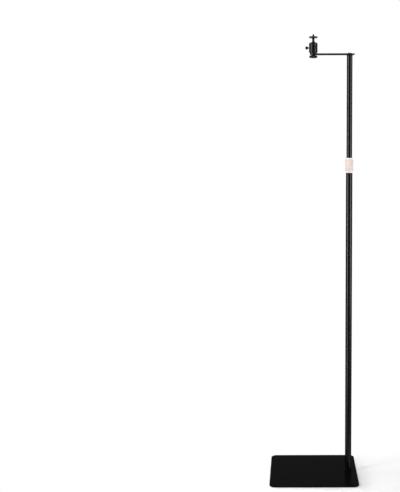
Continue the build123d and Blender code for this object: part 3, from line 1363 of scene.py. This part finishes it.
@dataclass
class BallHead:
    """Ball socket on its turning base, the ball with its stem, the disc and the camera thread."""

    shoulder: float = 4.2 * MM
    bottom_round: float = 0.7 * MM
    rim_chamfer: float = 0.7 * MM
    rim_round: float = 0.12 * MM
    edge_round: float = 0.22 * MM
    shoulder_steps: int = 10
    ball_radius: float = 10 * MM
    ball_depth: float = 5.8 * MM
    ball_gap: float = 0.12 * MM
    bowl_steps: int = 30
    ball_steps: int = 40
    notch_width: float = 12 * MM
    notch_drop: float = 3 * MM
    notch_steps: int = 24
    band_height: float = 5.4 * MM
    band_depth: float = 0.6 * MM
    band_drop: float = 16.8 * MM
    band_slope: float = math.radians(9)
    band_spread: float = math.radians(55)
    spot_radius: float = 4.2 * MM
    spot_depth: float = 0.8 * MM
    hole_radius: float = 2.08 * MM
    hole_depth: float = 7.7 * MM
    hole_segments: int = 48
    lock_height: float = 15 * MM
    notch_margin: float = 2 * MM
    hole_margin: float = 3 * MM
    base_round: float = 0.4 * MM
    base_groove: float = 0.5 * MM
    base_groove_height: float = 0.8 * MM
    groove_round: float = 0.15 * MM
    groove_steps: int = 4
    stem_radius: float = 4.1 * MM
    stem_fillet: float = 0.8 * MM
    fillet_share: float = 0.6
    fillet_steps: int = 5
    stem_hold: float = 0.4 * MM
    stem_bevel: float = 0.5 * MM
    bevel_inset: float = 0.1 * MM
    bevel_drop: float = 0.15 * MM
    stem_face: float = 0.4 * MM
    disc_cone: float = 1.4 * MM
    disc_rim: float = 4 * MM
    disc_flat: float = 8.5 * MM
    disc_gap: float = 0.08 * MM
    rim_low_round: float = 0.4 * MM
    rim_high_round: float = 0.5 * MM
    flat_round: float = 0.6 * MM
    bore_round: float = 0.2 * MM
    disc_ribs: int = 84
    rib_depth: float = 0.3 * MM
    rib_root: float = 0.4 * MM
    rib_margin: float = 0.6 * MM
    rib_share: float = 0.36
    rib_slope: float = 0.35 * MM
    rib_end_share: float = 0.15
    flank_reach: float = 0.7
    flank_width: float = 0.55
    thread_radius: float = 3.175 * MM
    thread_pitch: float = 1.27 * MM
    thread_depth: float = 0.62 * MM
    thread_relief: float = 0.2 * MM
    thread_tip: float = 0.6 * MM
    shank_radius: float = 2.6 * MM
    shank_segments: int = 40
    segments: int = 128

    def build(self) -> None:
        """Make and place all pieces of the head."""
        settle(self.turning_base(), Body.HEAD, ANODISED, "head_base")
        settle(self.housing(), Body.HEAD, ANODISED, "ball_housing")
        settle(self.ball_stem(), Body.BALL, POLISHED, "ball_stem")
        settle(self.disc(), Body.LOCK_DISC, DISC_ANODISED, "lock_disc")
        settle(self.thread(), Body.BALL, BLACK_OXIDE, "mount_screw")

    @property
    def shell(self) -> Box:
        """Extents of the housing."""
        return Box.of("ball_housing")

    @property
    def ball_z(self) -> float:
        """Height of the ball's middle."""
        return self.shell.high.z - self.ball_depth

    def turning_base(self) -> Piece:
        """Make the grooved ring under the housing.

        Returns:
            The ring.
        """
        box = Box.of("head_base")
        outer = box.radius
        floor = outer - self.base_groove
        low = box.mid("z") - self.base_groove_height / 2
        high = box.mid("z") + self.base_groove_height / 2
        soft = self.groove_round
        corners = [
            Corner(self.thread_radius, box.low.z),
            Corner(outer, box.low.z, self.base_round),
            Corner(outer, low, soft),
            Corner(floor, low, soft),
            Corner(floor, high, soft),
            Corner(outer, high, soft),
            Corner(outer, box.high.z, self.base_round),
            Corner(self.thread_radius, box.high.z),
        ]
        return turned("head_base_ring", corners, self.segments, closed=True, steps=self.groove_steps)

    def housing(self) -> Piece:
        """Make the socket with its notch, its slanted band and the seat of the lock screw.

        Returns:
            The housing.
        """
        box = self.shell
        socket = self.ball_radius + self.ball_gap
        mouth_z = box.high.z - self.rim_chamfer
        mouth = math.sqrt(socket ** 2 - (mouth_z - self.ball_z) ** 2)
        corners = [
            Corner(self.thread_radius, box.low.z),
            Corner(box.radius, box.low.z, self.bottom_round),
            Corner(box.radius, box.high.z, self.shoulder),
            Corner(mouth + self.rim_chamfer, box.high.z, self.rim_round),
            Corner(mouth, mouth_z),
        ]
        start = math.asin((mouth_z - self.ball_z) / socket)
        bowl = arc_points((0, self.ball_z), socket, start, -start - QUARTER, self.bowl_steps)
        spots = rounded(corners, steps=self.shoulder_steps) + [Spot(*point) for point in bowl[1:-1]]
        body = loft("ball_housing_notched", turned_rings(spots, self.segments), finish=ANODISED)
        carve(body, self.band_cutter(), self.notch_cutter(), *self.lock_cutters())
        return bevelled(body, self.edge_round)

    def band_cutter(self) -> Piece:
        """Make the tilted ring that sinks the band on the pole side and fades out at its spread.

        Returns:
            The cutter.
        """
        radius = self.shell.radius
        depth = self.band_depth
        half = self.band_height / 2
        wide = 2 * radius
        offset = depth * (radius - depth / 2) / (radius * (1 - math.cos(self.band_spread)) - depth)
        floor = radius - depth + offset
        rings = turned_rings([Spot(wide, -half), Spot(wide, half)], self.segments)
        rings += turned_rings([Spot(floor, half), Spot(floor, -half)], self.segments, -offset)
        cutter = loft("band_cutter", rings, True, BAND_PAINT)
        return laid(cutter, (0, 0, self.shell.high.z - self.band_drop), -self.band_slope, "X")

    def notch_cutter(self) -> Piece:
        """Make the upright slot with a round floor, at the back.

        Returns:
            The cutter.
        """
        half = self.notch_width / 2
        top = self.shell.high.z + self.notch_margin
        centre = (0, self.ball_z - self.notch_drop)
        outline = [(half, top), (-half, top)]
        outline += arc_points(centre, half, TURN / 2, TURN / 2, self.notch_steps)
        rings = [Ring([Vector((x, y, z)) for x, z in outline]) for y in (0, 2 * self.shell.radius)]
        return loft("notch_cutter", rings, finish=ANODISED)

    def lock_cutters(self) -> list[Piece]:
        """Make the hole and the spot face of the lock screw, at the side.

        Returns:
            The cutters.
        """
        box = self.shell
        far = box.radius + self.hole_margin
        hole = ("lock_hole_cutter", self.hole_radius, self.hole_depth)
        spot = ("lock_spot_cutter", self.spot_radius, self.spot_depth)
        cutters = []
        for name, radius, depth in (hole, spot):
            cutter = rod(name, radius, box.radius - depth, far, self.hole_segments, ANODISED)
            cutters.append(laid(cutter, (0, 0, box.low.z + self.lock_height), -QUARTER, "Y"))
        return cutters

    def ball_stem(self) -> Piece:
        """Make the ball and its stem as one turned piece.

        Returns:
            The ball with its stem.
        """
        ball = self.ball_radius
        stem = self.stem_radius
        top = Box.of("ball_stem").high.z
        root = math.asin(stem / ball)
        end = QUARTER - root - math.asin(self.stem_fillet / ball)
        globe = arc_points((0, self.ball_z), ball, -QUARTER, end + QUARTER, self.ball_steps)
        spots = [Spot(*point) for point in globe[1:]]
        foot = spots[-1]
        neck_z = self.ball_z + ball * math.cos(root) + self.fillet_share * self.stem_fillet
        for step in range(1, self.fillet_steps + 1):
            angle = QUARTER * step / self.fillet_steps
            reach = foot.reach + (stem - foot.reach) * math.sin(angle)
            spots.append(Spot(reach, foot.z + (neck_z - foot.z) * (1 - math.cos(angle))))
        spots += [
            Spot(stem, neck_z + self.stem_hold),
            Spot(stem, top - self.stem_bevel),
            Spot(stem - self.bevel_inset, top - self.bevel_drop, FULL_WEAR),
            Spot(stem - self.stem_face, top),
        ]
        return loft("ball_stem_polished", turned_rings(spots, self.segments))

    def disc(self) -> Piece:
        """Make the lock disc with its serrated rim.

        Returns:
            The disc.
        """
        box = Box.of("lock_disc")
        radius = box.radius - self.rib_depth
        rim_low = box.low.z + self.disc_cone
        rim_high = rim_low + self.disc_rim
        bore = self.shank_radius + self.disc_gap
        corners = [
            Corner(bore, box.low.z),
            Corner(self.stem_radius, box.low.z),
            Corner(radius, rim_low, self.rim_low_round),
            Corner(radius, rim_high, self.rim_high_round),
            Corner(self.disc_flat, box.high.z, self.flat_round),
            Corner(bore, box.high.z, self.bore_round),
        ]
        plain = turned("lock_disc_plain", corners, self.segments, closed=True)
        ribs = self.disc_serrations(radius, rim_low + self.rib_margin, rim_high - self.rib_margin)
        return join("lock_disc_serrated", plain, ribs)

    def disc_serrations(self, radius: float, low: float, high: float) -> Piece:
        """Make the upright ribs round the disc's rim.

        Args:
            radius: Radius of the plain rim.
            low: Foot of the ribs.
            high: Top of the ribs.

        Returns:
            The ribs in one piece.
        """
        half = self.rib_share * TURN * radius / self.disc_ribs
        flank = half * self.flank_width
        end = self.rib_end_share
        rings = []
        for z, share in ((low, end), (low + self.rib_slope, 1), (high - self.rib_slope, 1), (high, end)):
            out = self.rib_depth * share
            knee = self.flank_reach * out
            right = [(knee, flank), (0, half), (-self.rib_root, half)]
            section = [(x, -y) for x, y in reversed(right)] + [(out, 0)] + right
            rings.append(Ring([Vector((x, y, z)) for x, y in section], RIB_WEAR))
        rib = loft("disc_rib", rings)
        return ring_tree().make("disc_ribs", DISC_ANODISED, Piece=rib, Count=self.disc_ribs, Radius=radius)

    def thread(self) -> Piece:
        """Make the camera thread that stands out of the disc.

        Returns:
            The thread on its shank.
        """
        box = Box.of("mount_screw")
        start = Box.of("lock_disc").high.z + self.thread_relief
        screw = thread_tree().make(
            "camera_thread", BLACK_OXIDE, Crest=self.thread_radius, Depth=self.thread_depth,
            Pitch=self.thread_pitch, Length=box.high.z - start, Tip=self.thread_tip,
        )
        top = start + self.thread_relief
        shank = rod("mount_shank", self.shank_radius, box.low.z, top, self.shank_segments, BLACK_OXIDE)
        return join("mount_screw_thread", laid(screw, (0, 0, start)), shank)


@dataclass
class LockKnob:
    """Small fluted side knob and its screw."""

    radius: float = 5 * MM
    flutes: int = 9
    flute_radius: float = 1.0 * MM
    end_round: float = 3 * MM
    end_steps: int = 8
    end_flat: float = 0.4 * MM
    points_per_flute: int = 16
    screw_radius: float = 2.0 * MM
    screw_pitch: float = 0.7 * MM
    screw_depth: float = 0.36 * MM
    screw_tip: float = 0.5 * MM

    def build(self) -> None:
        """Make and place the knob and its screw."""
        settle(self.knob(), Body.LOCK_KNOB, PLASTIC, "lock_knob")
        settle(self.screw(), Body.LOCK_KNOB, BLACK_OXIDE, "lock_screw")

    def knob(self) -> Piece:
        """Make the knob along its own axis and lay it on the screw's.

        Returns:
            The knob.
        """
        box = Box.of("lock_knob")
        length = box.high.x - box.low.x
        count = self.flutes * self.points_per_flute

        def fluted(angle: float, reach: float) -> float:
            """Reach of the knob at an angle, cut by its flutes."""
            return min(reach, hollow_reach(angle, self.flutes, self.radius, self.flute_radius))

        rings = []
        corners = ledge(self.end_flat, self.radius, 0, length, self.end_round)
        for spot in rounded(corners, steps=self.end_steps):
            rings.append(polar_ring(lambda angle, r=spot.reach: fluted(angle, r), steady(spot.z), count))
        return laid(loft("lock_knob_fluted", rings), (box.high.x, 0, box.mid("z")), -QUARTER, "Y")

    def screw(self) -> Piece:
        """Make the threaded neck between the housing and the knob.

        Returns:
            The screw.
        """
        box = Box.of("lock_screw")
        screw = thread_tree().make(
            "lock_screw_thread", BLACK_OXIDE, Crest=self.screw_radius, Depth=self.screw_depth,
            Pitch=self.screw_pitch, Length=box.high.x - box.low.x, Tip=self.screw_tip,
        )
        return laid(screw, (box.low.x, 0, box.mid("z")), QUARTER, "Y")


@dataclass(frozen=True)
class Softbox:
    """One rectangular studio lamp."""

    name: str
    place: Vector
    target: Vector
    wide: float
    high: float
    watts: float
    spread: float = TURN / 2
    mirrored: bool = True
    lights: bool = True

    def hang(self) -> None:
        """Put the lamp in the studio."""
        lamp = bpy.data.lights.new(self.name, "AREA")
        lamp.shape = "RECTANGLE"
        lamp.size = self.wide
        lamp.size_y = self.high
        lamp.energy = self.watts
        lamp.spread = self.spread
        stand = linked(self.name, lamp)
        stand.location = self.place
        stand.rotation_euler = (self.target - self.place).to_track_quat("-Z", "Y").to_euler()
        stand.visible_camera = False
        stand.visible_glossy = self.mirrored
        stand.visible_diffuse = self.lights


@dataclass
class Studio:
    """Camera, lamps, floor and background."""

    photo_size: tuple[int, int] = (400, 492)
    focal_pixels: float = 844.07
    principal_x: float = 293.86
    eye: Vector = Vector((-0.0663, -2.857, 1.0762))
    pitch: float = 0.099
    sensor: float = 36.0
    roll: float = -0.0025
    aim: Vector = Vector((0.05, 0, 1.0))
    foot: Vector = Vector((0.2, 0, 0))
    card: Vector = Vector((-0.511, -0.569, 0.165))
    floor_size: float = 14.0
    floor_grey: float = 0.68
    floor_roughness: float = 0.9
    floor_glow: float = 0.27
    shadow_centre: Vector = Vector((0.2, -0.3, 0))
    shadow_depth: float = 1.5
    shadow_start: float = 0.25
    shadow_end: float = 0.6
    background: float = 1.0
    ambient: float = 0.15
    front_shade: float = 0.75
    floor_gap: tuple[float, float] = (-0.15, -0.4)
    sky_gap: tuple[float, float] = (-0.4, -0.75)

    def build(self) -> None:
        """Set up everything round the object."""
        self.camera()
        self.lamps()
        self.floor()
        self.world()
        bpy.context.scene.view_settings.view_transform = "Standard"

    def camera(self) -> None:
        """Put the camera where the photograph was taken from."""
        wide, high = self.photo_size
        lens = bpy.data.cameras.new("photo_camera")
        lens.sensor_width = self.sensor
        lens.lens = self.focal_pixels / high * self.sensor
        lens.shift_x = -(self.principal_x - wide / 2) / high
        camera = linked("photo_camera", lens)
        camera.location = self.eye
        turn = Matrix.Rotation(QUARTER - self.pitch, 4, "X") @ Matrix.Rotation(self.roll, 4, "Z")
        camera.rotation_euler = turn.to_euler()
        bpy.context.scene.camera = camera

    def lamps(self) -> None:
        """Hang softboxes in front, behind and above, a low lamp and a card that only mirrors."""
        aim = self.aim
        foot = self.foot
        shin = Vector((Box.of("lower_pole").mid("x"), 0, self.card.z))
        boxes = [
            Softbox("front_left", Vector((-1.88, -1.3, 1.1)), aim, wide=0.7, high=2.15, watts=56),
            Softbox("front_right", Vector((2.05, -1.35, 1.16)), aim, wide=0.7, high=2.08, watts=47),
            Softbox("back_left", Vector((-1.7, 1.9, 1.3)), aim, wide=0.35, high=1.6, watts=7),
            Softbox("back_right", Vector((1.7, 1.9, 1.3)), aim, wide=0.35, high=1.6, watts=10),
            Softbox("top", Vector((0, -0.2, 3.4)), foot, wide=2.4, high=2.4, watts=12),
            Softbox(
                "low_left", Vector((-1.0, 0.2, 0.2)), foot, wide=1.0, high=0.2, watts=5,
                spread=math.radians(80), mirrored=False,
            ),
            Softbox("low_card", self.card, shin, wide=0.22, high=0.31, watts=1.25, lights=False),
        ]
        for box in boxes:
            box.hang()

    def floor(self) -> None:
        """Lay the white floor, which keeps the object's shadow."""
        half = self.floor_size / 2
        corners = [(-half, -half, 0), (half, -half, 0), (half, half, 0), (-half, half, 0)]
        mesh = bpy.data.meshes.new("studio_floor")
        mesh.from_pydata(corners, [], [(0, 1, 2, 3)])
        mesh.materials.append(self.floor_material())
        linked("studio_floor", mesh)

    def floor_material(self) -> bpy.types.Material:
        """Make a white floor that reads as the background; its glow paints it plain white away from the
        object, and it keeps the shadow only near it.

        Returns:
            The material.
        """
        canvas = ShaderCanvas("white_floor")
        canvas.material.cycles.emission_sampling = "NONE"
        looks = {"Roughness": self.floor_roughness, "Specular_IOR_Level": 0.0}
        canvas.fill(canvas.shader, Base_Color=(*grey(self.floor_grey), 1.0), **looks)
        rays = canvas.add("ShaderNodeLightPath")
        seen = self.seen(canvas, rays)
        dark = canvas.glow(0.0)
        glow = canvas.mixed(seen, dark, canvas.glow(self.floor_glow))
        near = canvas.add("ShaderNodeAddShader", canvas.shader.outputs[0], glow).outputs[0]
        far = canvas.number("MULTIPLY", seen, self.far_share(canvas))
        cleared = canvas.mixed(far, near, canvas.glow(self.background))
        depth = canvas.add("ShaderNodeSeparateXYZ", canvas.coords(1, 1, 1)).outputs["Y"]
        shaded = canvas.mixed(self.front_gap(canvas, rays, depth, self.floor_gap), cleared, dark)
        canvas.fill(canvas.tree.nodes["Material Output"], Surface=shaded)
        return canvas.material

    def far_share(self, canvas: ShaderCanvas) -> Socket:
        """Give 0 near the object, where the floor keeps its shadow, and 1 farther off, where its glow
        paints the floor plain white over any shadow.

        Args:
            canvas: The floor's material.

        Returns:
            The socket.
        """
        place = canvas.coords(1, self.shadow_depth, 1)
        reach = canvas.add("ShaderNodeVectorMath", place, self.shadow_centre, operation="DISTANCE")
        return canvas.ramp(reach.outputs["Value"], self.shadow_start, self.shadow_end)

    def seen(self, canvas: NodeCanvas, rays: Node) -> Socket:
        """Give 1 for rays that show the background: camera, glossy and transmission rays.

        Args:
            canvas: Tree to add to.
            rays: Its Light Path node.

        Returns:
            The socket.
        """
        total = rays.outputs["Is Camera Ray"]
        for name in ("Is Glossy Ray", "Is Transmission Ray"):
            total = canvas.number("MAXIMUM", total, rays.outputs[name])
        return total

    def front_gap(self, canvas: NodeCanvas, rays: Node, depth: Socket, gap: tuple[float, float]) -> Socket:
        """Give the share of light that reflections miss on the camera's side, over a gap of depths."""
        shade = canvas.ramp(depth, *gap, 0.0, self.front_shade)
        return canvas.number("MULTIPLY", shade, rays.outputs["Is Glossy Ray"])

    def world(self) -> None:
        """Make the background white and the ambient light soft."""
        world = bpy.data.worlds.new("white_studio")
        bpy.context.scene.world = world
        world.use_nodes = True
        canvas = NodeCanvas(world.node_tree)
        nodes = canvas.tree.nodes
        shown = canvas.fill(nodes["Background"], Color=WHITE, Strength=self.background).outputs[0]
        soft = canvas.add("ShaderNodeBackground", WHITE, self.ambient).outputs[0]
        dark = canvas.add("ShaderNodeBackground", WHITE, 0.0).outputs[0]
        rays = canvas.add("ShaderNodeLightPath")
        lit = canvas.mixed(self.seen(canvas, rays), soft, shown)
        way = canvas.add("ShaderNodeTexCoord").outputs["Generated"]
        depth = canvas.add("ShaderNodeSeparateXYZ", way).outputs["Y"]
        shaded = canvas.mixed(self.front_gap(canvas, rays, depth, self.sky_gap), lit, dark)
        canvas.fill(nodes["World Output"], Surface=shaded)


def main() -> None:
    """Dress the whole stand."""
    logging.basicConfig(level=logging.INFO, format="%(name)s: %(message)s")
    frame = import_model()
    nodes = frame["nodes"]
    for part in (Studio(), Base(), Pole(), Arm(), StarKnob(), BallHead(), LockKnob()):
        part.build()
    dress_node(nodes["knob_stud"], BLACK_OXIDE)
    dress_node(nodes["pole_joiner"], PLASTIC)


if __name__ == "__main__":
    main()
